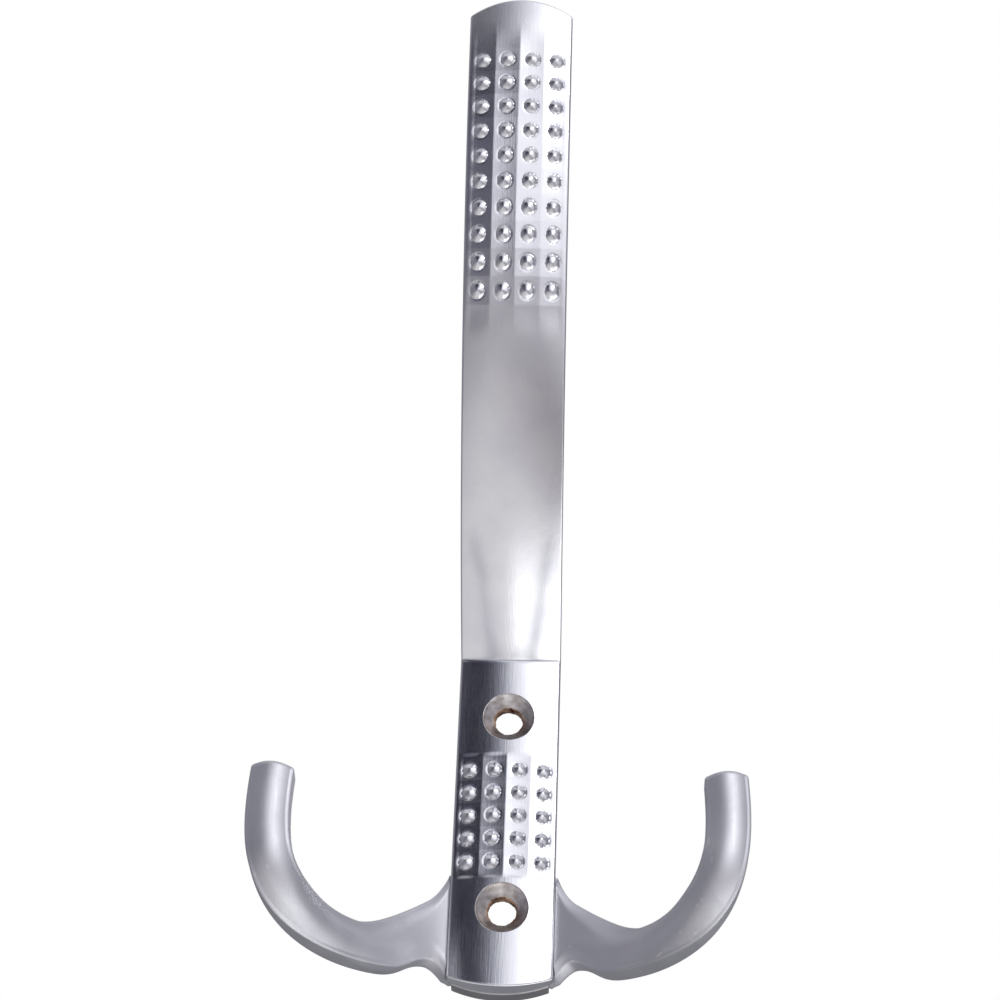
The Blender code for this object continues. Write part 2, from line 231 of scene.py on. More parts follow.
def round_hole(grid, centre_z, radius):
    """Bends the rows and columns round a screw hole, so that a square of them becomes its rim.

    Within a block about the hole each point slides towards the circle, fully at the inner
    square and not at all at the block's outside.  Returns the inner square's index ranges.
    """
    inner = 24
    outer = 40
    middle_column = grid.shape[1] // 2
    middle_row = int(np.argmin(np.abs(grid[:, middle_column, 2] - centre_z)))
    block_rows = np.arange(middle_row - outer, middle_row + outer + 1)
    block_columns = np.arange(middle_column - outer, middle_column + outer + 1)
    block = grid[np.ix_(block_rows, block_columns)]
    p, q = np.meshgrid(block_rows - middle_row, block_columns - middle_column, indexing="ij")
    reach = np.maximum(np.maximum(np.abs(p), np.abs(q)), 1)
    length = np.maximum(np.hypot(p, q), 1)
    keep = np.clip((reach - inner) / (outer - inner), 0, 1)
    circle_x = radius * q / length
    circle_z = centre_z + radius * p / length
    block[..., 0] = circle_x + keep * (block[..., 0] - circle_x)
    block[..., 2] = circle_z + keep * (block[..., 2] - circle_z)
    block[..., 1] = FRONT_Y + crown_drop(block[..., 0])
    grid[np.ix_(block_rows, block_columns)] = block
    return middle_row - inner, middle_row + inner, middle_column - inner, middle_column + inner


def quads(first, second):
    """Quads between two equally long rows of point numbers."""
    return np.stack([first[:-1], first[1:], second[1:], second[:-1]], axis=1)


def square_ring(numbers, low_row, high_row, low_column, high_column):
    """The point numbers round a square of the grid, counter-clockwise seen from the front."""
    bottom = numbers[low_row, low_column:high_column]
    right = numbers[low_row:high_row, high_column]
    top = numbers[high_row, high_column:low_column:-1]
    left = numbers[high_row:low_row:-1, low_column]
    return np.concatenate([bottom, right, top, left])


def screw_hole_rings(rim, centre_z):
    """Rings from a countersink's rim to the strap's back, each one (points, 3).

    A small rim round, the 45 degree seat, then the bore, whose wall the drill left ragged:
    its radius wavers by a few summed waves that die out up the seat.
    """
    angle = np.arctan2(rim[:, 2] - centre_z, rim[:, 0])
    rim_radius = COUNTERSINK_DIAMETER / 2
    bore = SCREW_BORE / 2
    seat_y = FRONT_Y + crown_drop(rim_radius) / 2 + rim_radius - bore
    ragged = np.sin(3 * angle + 1.0) + 0.7 * np.sin(7 * angle + centre_z * 900) + 0.6 * np.sin(13 * angle)
    ragged += 0.5 * np.sin(23 * angle + centre_z * 400)
    rings = []
    for share in (0.03, 0.07, 0.2, 0.35, 0.5, 0.65, 0.8, 0.9, 0.96, 1.0):
        waver = 0.00003 * ragged * share**8
        radius = rim_radius + (bore - rim_radius) * share + waver
        y = rim[:, 1] + (seat_y - rim[:, 1]) * share
        if share < 0.05:
            radius = rim_radius - RIM_ROUND
            y = rim[:, 1] + RIM_ROUND / 2
        rings.append(np.stack([radius * np.cos(angle), y, centre_z + radius * np.sin(angle)], axis=1))
    for share in (0.12, 0.3, 0.55, 0.8, 1.0):
        waver = ragged * (0.00003 + 0.00005 * math.sin(math.pi * share))
        radius = bore + waver
        y = np.full(len(rim), seat_y + (STRAP_BACK_Y - seat_y) * share)
        rings.append(np.stack([radius * np.cos(angle), y, centre_z + radius * np.sin(angle)], axis=1))
    return rings


WELD_DISTANCE = 0.0000005


def surface_object(name, points, polygons, sharp_degrees, patches=None):
    """A smooth-shaded object from points and faces, with sharp creases kept.

    Points that fall together are welded, and all faces are turned outward.
    """
    mesh = bpy.data.meshes.new(name)
    mesh.from_pydata(points.tolist(), [], polygons)
    if patches is not None:
        mesh.polygons.foreach_set("material_index", patches)
    skin = bmesh.new()
    skin.from_mesh(mesh)
    bmesh.ops.remove_doubles(skin, verts=skin.verts, dist=WELD_DISTANCE)
    bmesh.ops.recalc_face_normals(skin, faces=skin.faces)
    skin.to_mesh(mesh)
    skin.free()
    mesh.shade_smooth()
    mesh.set_sharp_from_angle(angle=math.radians(sharp_degrees))
    mesh.update()
    item = bpy.data.objects.new(name, mesh)
    bpy.context.scene.collection.objects.link(item)
    return item


def filled(points, loops):
    """Triangles of a flat face with holes; loops are lists of point numbers, the outline first."""
    outlines = [[points[number] for number in loop] for loop in loops]
    order = [number for loop in loops for number in loop]
    return [tuple(order[corner] for corner in triangle) for triangle in geometry.tessellate_polygon(outlines)]


def facing(points, triangles, direction):
    """The triangles without the empty ones, each turned so that it faces along the direction."""
    triangles = np.array(triangles)
    a, b, c = np.asarray(points)[triangles].transpose(1, 0, 2)
    ahead = np.cross(b - a, c - a) @ np.array(direction)
    turned = np.where(ahead[:, None] > 0, triangles, triangles[:, ::-1])
    return turned[ahead != 0].tolist()


def build_strap():
    plate = plate_grid()
    rim_squares = [round_hole(plate, side * SCREW_SPACING / 2, COUNTERSINK_DIAMETER / 2) for side in (-1, 1)]
    middle = slice(CORNER_STEPS + 2, CORNER_STEPS + 2 + FRONT_COLUMNS + 1)
    panel = plate[END_STEPS:, middle]
    crease = CREASE_GROOVE * np.exp(-(((panel[..., 2] - panel[-1:, :, 2]) / CREASE_WIDTH) ** 2))
    relief = grip_relief(
        panel[..., 0], panel[..., 2], PLATE_DOT_ROWS, PLATE_DOT_CENTRE, PLATE_GRIP_FADE, PLATE_DISH)
    panel[..., 1] -= relief - crease

    arm = arm_grid()
    panel = arm[:-END_STEPS, middle]
    lean = np.arctan2(
        panel[..., 2] - PLATE_TOP - ARM_ARC_RADIUS * math.sin(ARM_LEAN_AT_ROOT),
        panel[..., 1] - FRONT_Y - ARM_ARC_RADIUS * math.cos(ARM_LEAN_AT_ROOT),
    ) + math.pi
    tip_z = arm_middle(ARM_LEAN_AT_TIP)[1]
    centre = tip_z - ARM_DOT_TOP_MARGIN - (ARM_DOT_ROWS - 1) / 2 * DOT_PITCH
    relief = grip_relief(
        panel[..., 0], arm_middle(lean)[1], ARM_DOT_ROWS, centre, ARM_GRIP_FADE, ARM_DISH)
    from_crease = np.hypot(*(panel - plate[-1, middle]).transpose(2, 0, 1)[1:])
    relief -= CREASE_GROOVE * np.exp(-((from_crease / CREASE_WIDTH) ** 2))
    panel[..., 1] -= relief * np.cos(lean)
    panel[..., 2] -= relief * np.sin(lean)

    grid = np.concatenate([plate, arm])
    rows, columns = grid.shape[:2]
    points = [grid.reshape(-1, 3)]
    numbers = np.arange(rows * columns).reshape(rows, columns)
    next_number = rows * columns

    keep = np.ones((rows - 1, columns - 1), bool)
    for low_row, high_row, low_column, high_column in rim_squares:
        keep[low_row:high_row, low_column:high_column] = False
    cells = np.stack([numbers[:-1, :-1], numbers[:-1, 1:], numbers[1:, 1:], numbers[1:, :-1]], axis=2)
    skin = cells[keep].tolist()
    patches = [0] * len(skin)

    bore_loops = []
    for side, square in zip((-1, 1), rim_squares):
        ring = square_ring(numbers, *square)
        rim = grid.reshape(-1, 3)[ring]
        for step, places in enumerate(screw_hole_rings(rim, side * SCREW_SPACING / 2)):
            deeper = next_number + np.arange(len(ring))
            next_number += len(ring)
            points.append(places)
            band = quads(np.append(ring, ring[0]), np.append(deeper, deeper[0])).tolist()
            skin += band
            patches += [1 if step < 8 else 2] * len(band)
            ring = deeper
        bore_loops.append(ring.tolist())

    # square ends: a wall from the rounded front edge down to an arc on the back
    first = CORNER_STEPS + 2
    last = first + FRONT_COLUMNS
    end_lines = []
    tip_depth = (math.cos(ARM_LEAN_AT_TIP), math.sin(ARM_LEAN_AT_TIP))
    for row, (normal_y, normal_z) in ((0, (1.0, 0.0)), (rows - 1, tip_depth)):
        front = grid[row, first:last + 1]
        thick = (PLATE_THICKNESS if row == 0 else ARM_TIP_THICKNESS) - crown_drop(front[:, 0]) - END_ROUND
        back = front + thick[:, None] * np.array([0.0, normal_y, normal_z])
        line = next_number + np.arange(len(back))
        next_number += len(back)
        points.append(back)
        wall = quads(numbers[row, first:last + 1], line)
        if row == 0:
            wall = wall[:, ::-1]
        skin += wall.tolist()
        low = numbers[row, :first + 1].tolist() + [int(line[0])]
        high = numbers[row, last:].tolist() + [int(line[-1])]
        skin += [low[::-1], high] if row == 0 else [low, high[::-1]]
        lune = [int(numbers[row, 0])] + line.tolist() + [int(numbers[row, -1])]
        end_lines.append(lune)
    foot_lune, tip_lune = end_lines
    skin += [foot_lune, tip_lune[::-1]]

    # the back: straight across, with a filled panel round each bore
    covered = np.zeros(rows - 1, bool)
    all_points = np.concatenate(points)
    half_window = SCREW_BORE / 2 + 0.001
    back_faces = []
    for side, loop in zip((-1, 1), bore_loops):
        z = side * SCREW_SPACING / 2
        near = np.nonzero(np.abs(grid[:len(plate), 0, 2] - z) < half_window)[0]
        covered[near[0]:near[-1]] = True
        left = numbers[near, 0].tolist()
        right = numbers[near, -1].tolist()
        back_faces += filled(all_points.tolist(), [left[::-1] + right, loop])
    back_faces = facing(all_points, back_faces, (0.0, 1.0, 0.0))
    across = np.stack([numbers[:-1, 0], numbers[1:, 0], numbers[1:, -1], numbers[:-1, -1]], axis=1)
    skin += across[~covered].tolist() + back_faces
    patches += [0] * (len(skin) - len(patches))
    return surface_object("front_strap_casting", all_points, skin, 32.0, patches)


DULL_TIP_FROM = 0.094
DULL_TIP_FULL = 0.110
DULL_TIP_ROUGHNESS = 0.15


def satin_plate(name, colour, dull_colour, roughness, grain_scale, brush_turn, brush_depth):
    """Satin chrome plate over a brushed casting, on Object coordinates.

    Colour drifts between two greys in soft clouds; hairline brush marks and fine cast grain
    make the bump; roughness wavers with both, and convex edges are a little brighter in colour.
    The last stretch of the hat arm, above DULL_TIP_FROM, turns duller towards its end.
    """
    material = bpy.data.materials.new(name)
    material.use_nodes = True
    tree = material.node_tree
    shader = tree.nodes["Principled BSDF"]
    shader.inputs["Metallic"].default_value = 1.0
    place = tree.nodes.new("ShaderNodeTexCoord")

    clouds = tree.nodes.new("ShaderNodeTexNoise")
    clouds.inputs["Scale"].default_value = 130.0
    clouds.inputs["Detail"].default_value = 5.0
    tree.links.new(place.outputs["Object"], clouds.inputs["Vector"])
    tint = tree.nodes.new("ShaderNodeValToRGB")
    tint.color_ramp.elements[0].position = 0.30
    tint.color_ramp.elements[0].color = (*dull_colour, 1.0)
    tint.color_ramp.elements[1].position = 0.66
    tint.color_ramp.elements[1].color = (*colour, 1.0)
    tree.links.new(clouds.outputs["Fac"], tint.inputs["Fac"])

    turn = tree.nodes.new("ShaderNodeMapping")
    turn.inputs["Rotation"].default_value = (0.0, math.radians(brush_turn), 0.0)
    turn.inputs["Scale"].default_value = (5200.0, 900.0, 260.0)
    tree.links.new(place.outputs["Object"], turn.inputs["Vector"])
    brush = tree.nodes.new("ShaderNodeTexNoise")
    brush.inputs["Scale"].default_value = 1.0
    brush.inputs["Detail"].default_value = 3.0
    tree.links.new(turn.outputs["Vector"], brush.inputs["Vector"])
    grain = tree.nodes.new("ShaderNodeTexNoise")
    grain.inputs["Scale"].default_value = grain_scale
    grain.inputs["Detail"].default_value = 6.0
    grain.inputs["Roughness"].default_value = 0.62
    tree.links.new(place.outputs["Object"], grain.inputs["Vector"])

    pits = tree.nodes.new("ShaderNodeTexVoronoi")
    pits.inputs["Scale"].default_value = 700.0
    tree.links.new(place.outputs["Object"], pits.inputs["Vector"])
    pit = tree.nodes.new("ShaderNodeMapRange")
    pit.inputs["From Min"].default_value = 0.02
    pit.inputs["From Max"].default_value = 0.06
    tree.links.new(pits.outputs["Distance"], pit.inputs["Value"])

    # Pointiness makes convex edges a little brighter in colour.
    edge = tree.nodes.new("ShaderNodeNewGeometry")
    convex_edge_share = tree.nodes.new("ShaderNodeMapRange")
    convex_edge_share.inputs["From Min"].default_value = 0.57
    convex_edge_share.inputs["From Max"].default_value = 0.70
    tree.links.new(edge.outputs["Pointiness"], convex_edge_share.inputs["Value"])
    bright = tree.nodes.new("ShaderNodeMix")
    bright.data_type = "RGBA"
    bright.inputs["B"].default_value = (0.93, 0.93, 0.94, 1.0)
    tree.links.new(convex_edge_share.outputs["Result"], bright.inputs["Factor"])
    tree.links.new(tint.outputs["Color"], bright.inputs["A"])
    tree.links.new(bright.outputs["Result"], shader.inputs["Base Color"])

    sheen = tree.nodes.new("ShaderNodeMath")
    sheen.operation = "MULTIPLY_ADD"
    sheen.inputs[1].default_value = 0.16
    sheen.inputs[2].default_value = roughness - 0.08
    tree.links.new(grain.outputs["Fac"], sheen.inputs[0])
    streaks = tree.nodes.new("ShaderNodeMath")
    streaks.operation = "MULTIPLY_ADD"
    streaks.inputs[1].default_value = 0.10
    tree.links.new(brush.outputs["Fac"], streaks.inputs[0])
    tree.links.new(sheen.outputs["Value"], streaks.inputs[2])
    height = tree.nodes.new("ShaderNodeSeparateXYZ")
    tree.links.new(place.outputs["Object"], height.inputs["Vector"])
    duller = tree.nodes.new("ShaderNodeMapRange")
    duller.inputs["From Min"].default_value = DULL_TIP_FROM
    duller.inputs["From Max"].default_value = DULL_TIP_FULL
    duller.inputs["To Max"].default_value = DULL_TIP_ROUGHNESS
    tree.links.new(height.outputs["Z"], duller.inputs["Value"])
    both = tree.nodes.new("ShaderNodeMath")
    tree.links.new(streaks.outputs["Value"], both.inputs[0])
    tree.links.new(duller.outputs["Result"], both.inputs[1])
    tree.links.new(both.outputs["Value"], shader.inputs["Roughness"])

    hairlines = tree.nodes.new("ShaderNodeBump")
    hairlines.inputs["Strength"].default_value = brush_depth
    hairlines.inputs["Distance"].default_value = 0.00002
    tree.links.new(brush.outputs["Fac"], hairlines.inputs["Height"])
    cast = tree.nodes.new("ShaderNodeBump")
    cast.inputs["Strength"].default_value = 0.35
    cast.inputs["Distance"].default_value = 0.00002
    tree.links.new(grain.outputs["Fac"], cast.inputs["Height"])
    tree.links.new(hairlines.outputs["Normal"], cast.inputs["Normal"])
    pocks = tree.nodes.new("ShaderNodeBump")
    pocks.inputs["Strength"].default_value = 0.25
    pocks.inputs["Distance"].default_value = 0.00003
    tree.links.new(pit.outputs["Result"], pocks.inputs["Height"])
    tree.links.new(cast.outputs["Normal"], pocks.inputs["Normal"])
    tree.links.new(pocks.outputs["Normal"], shader.inputs["Normal"])
    return material


def drilled_metal(name, colour, stain, roughness):
    """Bare machined metal in a screw hole: turned rings, brown plating burn and fine tears."""
    material = bpy.data.materials.new(name)
    material.use_nodes = True
    tree = material.node_tree
    shader = tree.nodes["Principled BSDF"]
    shader.inputs["Metallic"].default_value = 1.0
    place = tree.nodes.new("ShaderNodeTexCoord")
    burn = tree.nodes.new("ShaderNodeTexNoise")
    burn.inputs["Scale"].default_value = 900.0
    burn.inputs["Detail"].default_value = 6.0
    tree.links.new(place.outputs["Object"], burn.inputs["Vector"])
    tint = tree.nodes.new("ShaderNodeValToRGB")
    tint.color_ramp.elements[0].position = 0.36
    tint.color_ramp.elements[0].color = (*stain, 1.0)
    tint.color_ramp.elements[1].position = 0.62
    tint.color_ramp.elements[1].color = (*colour, 1.0)
    tree.links.new(burn.outputs["Fac"], tint.inputs["Fac"])
    tree.links.new(tint.outputs["Color"], shader.inputs["Base Color"])
    stretch = tree.nodes.new("ShaderNodeMapping")
    stretch.inputs["Scale"].default_value = (700.0, 9000.0, 700.0)
    tree.links.new(place.outputs["Object"], stretch.inputs["Vector"])
    rings = tree.nodes.new("ShaderNodeTexNoise")
    rings.inputs["Scale"].default_value = 1.0
    rings.inputs["Detail"].default_value = 4.0
    tree.links.new(stretch.outputs["Vector"], rings.inputs["Vector"])
    rough = tree.nodes.new("ShaderNodeMath")
    rough.operation = "MULTIPLY_ADD"
    rough.inputs[1].default_value = 0.25
    rough.inputs[2].default_value = roughness - 0.12
    tree.links.new(rings.outputs["Fac"], rough.inputs[0])
    tree.links.new(rough.outputs["Value"], shader.inputs["Roughness"])
    tears = tree.nodes.new("ShaderNodeBump")
    tears.inputs["Strength"].default_value = 0.5
    tears.inputs["Distance"].default_value = 0.00003
    tree.links.new(rings.outputs["Fac"], tears.inputs["Height"])
    tree.links.new(tears.outputs["Normal"], shader.inputs["Normal"])
    return material


strap = build_strap()
strap.data.materials.append(satin_plate(
    "strap_satin_chrome", (0.88, 0.88, 0.91), (0.79, 0.79, 0.84), 0.17, 3600.0, 24.0, 0.5))
strap.data.materials.append(drilled_metal(
    "countersink_seat", (0.74, 0.71, 0.71), (0.50, 0.46, 0.44), 0.30))
strap.data.materials.append(drilled_metal(
    "screw_bore_wall", (0.80, 0.52, 0.34), (0.10, 0.035, 0.02), 0.45))
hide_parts("front_strap")
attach(strap, "root")


# ---------------------------------------------------------------- rivet heads
# Two studs cast on the strap's back, passed through the back plate and peened over in its
# counterbores, which joins the two castings for good.  Hammered, slightly domed heads.

RIVET_SPACING = 0.0140
RIVET_DIAMETER = 0.0030
RIVET_HEAD_DIAMETER = 0.0048
RIVET_HEAD_THICKNESS = 0.0010
RIVET_HEAD_RECESS = 0.0003
RIVET_SEGMENTS = 48


def rivet_points(centre_z, segments):
    """A stud and its head turned about an axis along Y, the head's face hammered uneven."""
    shank = RIVET_DIAMETER / 2
    head = RIVET_HEAD_DIAMETER / 2
    under = -(RIVET_HEAD_RECESS + RIVET_HEAD_THICKNESS)
    profile = np.array([
        (0.05 * shank, STRAP_BACK_Y - 0.0002), (shank, STRAP_BACK_Y - 0.0002), (shank, under),
        (head - 0.0001, under), (head, under + 0.0001), (head, under + 0.0005),
        (head * 0.93, under + 0.00075), (head * 0.8, under + 0.0009),
        (head * 0.55, under + 0.00097), (head * 0.3, under + 0.001), (head * 0.05, under + 0.001),
    ])
    angle = 2 * math.pi * np.arange(segments) / segments
    radius = profile[:, :1]
    waver = 1 + 0.02 * np.sin(3 * angle + centre_z * 700) * (radius > shank)
    y = np.repeat(profile[:, 1:], segments, axis=1)
    y = y - 0.00006 * (profile[:, 1:] > under + 0.0006) * (1 + np.sin(2 * angle + 1)) / 2
    return np.stack([radius * waver * np.cos(angle), y, centre_z + radius * waver * np.sin(angle)], axis=2)


def lathe_faces(rings, segments, offset):
    """Quads round a turned grid, with both ends closed by one face each."""
    numbers = offset + np.arange(rings * segments).reshape(rings, segments)
    wrapped = np.concatenate([numbers, numbers[:, :1]], axis=1)
    cells = np.stack([wrapped[:-1, :-1], wrapped[:-1, 1:], wrapped[1:, 1:], wrapped[1:, :-1]], axis=2)
    ends = [numbers[0][::-1].tolist(), numbers[-1].tolist()]
    return cells.reshape(-1, 4)[:, ::-1].tolist() + [end[::-1] for end in ends]


rivet_grids = [rivet_points(side * RIVET_SPACING / 2, RIVET_SEGMENTS) for side in (-1, 1)]
ring_count = len(rivet_grids[0])
rivet_faces = lathe_faces(ring_count, RIVET_SEGMENTS, 0)
rivet_faces += lathe_faces(ring_count, RIVET_SEGMENTS, ring_count * RIVET_SEGMENTS)
rivets = surface_object(
    "rivet_heads", np.concatenate([grid.reshape(-1, 3) for grid in rivet_grids]), rivet_faces, 35.0)
rivets.data.materials.append(satin_plate(
    "hammered_rivet_chrome", (0.78, 0.78, 0.80), (0.60, 0.59, 0.61), 0.38, 2200.0, 70.0, 0.8))
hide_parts("front_strap")
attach(rivets, "root")


# ---------------------------------------------------------------- side hooks
# Left and right arms of the rear casting: each web flares out from behind the strap's side,
# narrows to a crowned bar and sweeps forward and up to a blunt end.  Satin chrome, duller
# than the strap; the left is the right one mirrored.

HOOK_SPAN = 0.0649
HOOK_REACH = 0.0370
HOOK_TIP_HEIGHT = -0.0084
HOOK_BAR_WIDTH = 0.0069
HOOK_TIP_WIDTH = 0.0063
HOOK_BAR_DEPTH = 0.0048
HOOK_BACK_STANDOFF = 0.0006
HOOK_ROOT_OVERLAP = 0.0020
HOOK_ROOT_HEIGHT = -0.0199
HOOK_LOW_HEIGHT = -0.0261
HOOK_RISE_HEIGHT = -0.0353
HOOK_SWEEP_INSET = 0.0114
HOOK_BULGE = 0.0022
HOOK_REACH_DONE = 0.84
HOOK_TIP_ROUND = 0.0009
HOOK_TIP_SHEAR = 0.14
HOOK_CROWN = 0.0011
HOOK_ROLL = 0.0036
HOOK_EDGE_ROUND = 0.0006
HOOK_BACK_ROUND = 0.0011
WEB_FLARE = 0.0057
WEB_FLARE_LENGTH = 0.0127
WEB_FLARE_POWER = 1.3
WEB_FILLET = 0.0026
WEB_FILLET_LENGTH = 0.0032
WEB_FOOT = 0.0030
WEB_FOOT_LENGTH = 0.0032
WEB_ARCH = 0.0015
WEB_ARCH_PLACE = 0.0042
WEB_ARCH_SPREAD = 0.0030
WEB_RECESS = 0.0009
WEB_RECESS_LENGTH = 0.0090
WEB_CROWN_LOSS = 0.55
WEB_ROLL_LOSS = 0.0022
BACK_PLATE_THICKNESS = 0.0033
FIT_GAP = 0.0003


def hook_line(t):
    """Middle of the bar and its directions at t from 0 to 1: a cubic curve.

    Seen from the side the bar comes forward in a smooth step that ends at HOOK_REACH_DONE.
    The section stands upright where the web leaves the strap and turns square to the bar over
    the web's length.  Returns point, along, inward (towards the throat) and depth (to the wall).
    """
    tip_x = HOOK_SPAN / 2
    root_y = -(HOOK_BACK_STANDOFF + HOOK_BAR_DEPTH / 2)
    a = np.array((STRAP_HALF - HOOK_ROOT_OVERLAP, root_y, HOOK_ROOT_HEIGHT))
    b = np.array((tip_x - HOOK_SWEEP_INSET, root_y, HOOK_LOW_HEIGHT))
    c = np.array((tip_x + HOOK_BULGE, -HOOK_REACH, HOOK_RISE_HEIGHT))
    d = np.array((tip_x, -HOOK_REACH, HOOK_TIP_HEIGHT))
    t = t[:, None]
    s = 1 - t
    point = s**3 * a + 3 * s**2 * t * b + 3 * s * t**2 * c + t**3 * d
    along = 3 * (s**2 * (b - a) + 2 * s * t * (c - b) + t**2 * (d - c))
    ahead = np.minimum(t[:, 0] / HOOK_REACH_DONE, 1)
    point[:, 1] = root_y + (d[1] - root_y) * ahead**2 * (3 - 2 * ahead)
    along[:, 1] = (d[1] - root_y) * 6 * ahead * (1 - ahead) / HOOK_REACH_DONE
    along /= np.linalg.norm(along, axis=1)[:, None]
    depth = np.array((0.0, 1.0, 0.0)) - along[:, 1:2] * along
    depth /= np.linalg.norm(depth, axis=1)[:, None]
    away = np.clip((point[:, :1] - STRAP_HALF) / WEB_FLARE_LENGTH, 0, 1)
    turn = away * away * (3 - 2 * away)
    inward = (1 - turn) * np.array((0.0, 0.0, 1.0)) + turn * np.cross(along, depth)
    inward /= np.linalg.norm(inward, axis=1)[:, None]
    return point, along, inward, depth


def hook_reaches(x, half_width):
    """How far the section reaches to its throat side and its outer side at distance x.

    The web widens towards the strap by a power curve, with a small arch and foot underneath.
    """
    out = np.maximum(x - STRAP_HALF, 0)
    inner = half_width + WEB_FLARE * np.clip(1 - out / WEB_FLARE_LENGTH, 0, 1) ** WEB_FLARE_POWER
    inner = inner + WEB_FILLET * np.clip(1 - out / WEB_FILLET_LENGTH, 0, 1) ** 2
    outer = half_width - WEB_ARCH * np.exp(-(((out - WEB_ARCH_PLACE) / WEB_ARCH_SPREAD) ** 2))
    outer = outer + WEB_FOOT * np.clip(1 - out / WEB_FOOT_LENGTH, 0, 1) ** 2
    return inner, outer


def bar_outline(inner, outer, front, back, crown, edge_round, back_round, roll):
    """Closed section of the bar as (towards the throat, towards the wall), one row a station.

    The front is flat in its middle and rolls back by `crown` within `roll` of its edges, a
    small round turns it into the straight sides, and larger rounds lead to the flat back.
    """
    column = [value[:, None] for value in (inner, outer, front, back, crown, edge_round, back_round, roll)]
    inner, outer, front, back, crown, edge_round, back_round, roll = column
    middle = (inner - outer) / 2
    half = (inner + outer) / 2
    flat = half - edge_round
    sweep = np.sin(np.linspace(-1, 1, 41)[None, :] * math.pi / 2)
    u_front = middle + flat * sweep
    roll = np.minimum(roll, flat)
    from_edge = flat - flat * np.abs(sweep)
    v_front = front + crown * np.clip(1 - from_edge / roll, 0, 1) ** 2
    slope = np.arctan(2 * crown / roll)
    steps = np.arange(1, 6)[None, :] / 5
    turn = slope + (math.pi / 2 - slope) * steps
    corner_u = flat + edge_round * (np.sin(turn) - np.sin(slope)) / (1 - np.sin(slope))
    corner_v = front + crown + edge_round * (np.cos(slope) - np.cos(turn))
    back_turn = np.linspace(0, math.pi / 2, 7)[None, :]
    back_u = half - back_round + back_round * np.cos(back_turn)
    back_v = back - back_round + back_round * np.sin(back_turn)
    across = np.linspace(0, 1, 8)[None, 1:-1]
    flat_back = half - back_round
    u = np.concatenate([
        u_front, middle + corner_u, middle + back_u,
        middle + flat_back * (1 - 2 * across),
        middle - back_u[:, ::-1], middle - corner_u[:, ::-1],
    ], axis=1)
    v = np.concatenate([
        v_front, corner_v, back_v,
        np.repeat(back, across.shape[1], axis=1),
        back_v[:, ::-1], corner_v[:, ::-1],
    ], axis=1)
    return u, v


def hook_points():
    """Grid of (stations, outline) points for the right hook.

    Stations inside the strap's seat keep behind the back plate's front face; two stations at
    the seat's side make the step out to the full web.
    """
    fine = np.linspace(0, 1, 2001)
    seat_x = STRAP_HALF + FIT_GAP
    seat_t = float(np.interp(seat_x, hook_line(fine)[0][:, 0], fine))
    seat = np.linspace(0, seat_t, 4)
    t = np.concatenate([seat, seat_t + (1 - seat_t) * np.linspace(0, 1, 191)])
    point, along, inward, depth = hook_line(t)
    half_width = (HOOK_BAR_WIDTH + (HOOK_TIP_WIDTH - HOOK_BAR_WIDTH) * t) / 2
    inner, outer = hook_reaches(point[:, 0], half_width)
    out = np.maximum(point[:, 0] - STRAP_HALF, 0)
    near = np.clip(1 - out / WEB_RECESS_LENGTH, 0, 1)
    front = -HOOK_BAR_DEPTH / 2 + WEB_RECESS * near
    crown = HOOK_CROWN * (1 - WEB_CROWN_LOSS * near**0.7)
    roll = HOOK_ROLL - WEB_ROLL_LOSS * near**0.7
    full = np.ones(len(t))

    def place(centre, inset, ahead):
        edge = np.maximum(HOOK_EDGE_ROUND - inset, 0.00008) * full
        rear = np.maximum(HOOK_BACK_ROUND - inset, 0.0001) * full
        u, v = bar_outline(
            inner - inset, outer - inset, front + inset, HOOK_BAR_DEPTH / 2 - inset * full,
            crown, edge, rear, roll)
        near_tip = np.clip((t - 0.9) / 0.1, 0, 1)[:, None]
        reach = (ahead - HOOK_TIP_SHEAR * near_tip * v)[..., None]
        return (centre[:, None] + reach * along[:, None]
                + u[..., None] * inward[:, None] + v[..., None] * depth[:, None])

    body = place(point, 0.0, 0.0)
    seat_rows = len(seat)
    body[:seat_rows, :, 1] = np.maximum(body[:seat_rows, :, 1], -BACK_PLATE_THICKNESS + 0.00005)
    body[seat_rows - 1:seat_rows + 1, :, 0] = seat_x
    rings = [body]
    for angle in np.radians(np.linspace(0, 90, 9)[1:]):
        inset = HOOK_TIP_ROUND * (1 - math.cos(angle))
        rings.append(place(point, inset, HOOK_TIP_ROUND * math.sin(angle))[-1:])
    return np.concatenate(rings)


def build_side_hook(name, side):
    grid = hook_points()
    grid[..., 0] *= side
    rows, columns = grid.shape[:2]
    numbers = np.arange(rows * columns).reshape(rows, columns)
    wrapped = np.concatenate([numbers, numbers[:, :1]], axis=1)
    cells = np.stack([wrapped[:-1, :-1], wrapped[:-1, 1:], wrapped[1:, 1:], wrapped[1:, :-1]], axis=2)
    faces = cells.reshape(-1, 4).tolist() + [numbers[0][::-1].tolist(), numbers[-1].tolist()]
    if side < 0:
        faces = [face[::-1] for face in faces]
    return surface_object(name, grid.reshape(-1, 3), faces, 38.0)


hook_plate = satin_plate(
    "hook_satin_chrome", (0.80, 0.80, 0.84), (0.73, 0.73, 0.78), 0.50, 2600.0, 52.0, 0.45)
for hook_name, hook_side in (("right_side_hook", 1), ("left_side_hook", -1)):
    hook = build_side_hook(hook_name, hook_side)
    hook.data.materials.append(hook_plate)
    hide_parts("double_hook")
    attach(hook, "root")


# ---------------------------------------------------------------- back plate
# The middle of the rear casting: a flat plate behind the strap, a little narrower and shorter,
# with clearance holes for the screws and counterbored holes for the rivet studs.

BACK_PLATE_INSET = 0.0006
BACK_PLATE_TOP_DROP = 0.0022
BACK_PLATE_BEVEL = 0.0003
SCREW_CLEARANCE_HOLE = 0.0080
HOLE_BEVEL = 0.0002


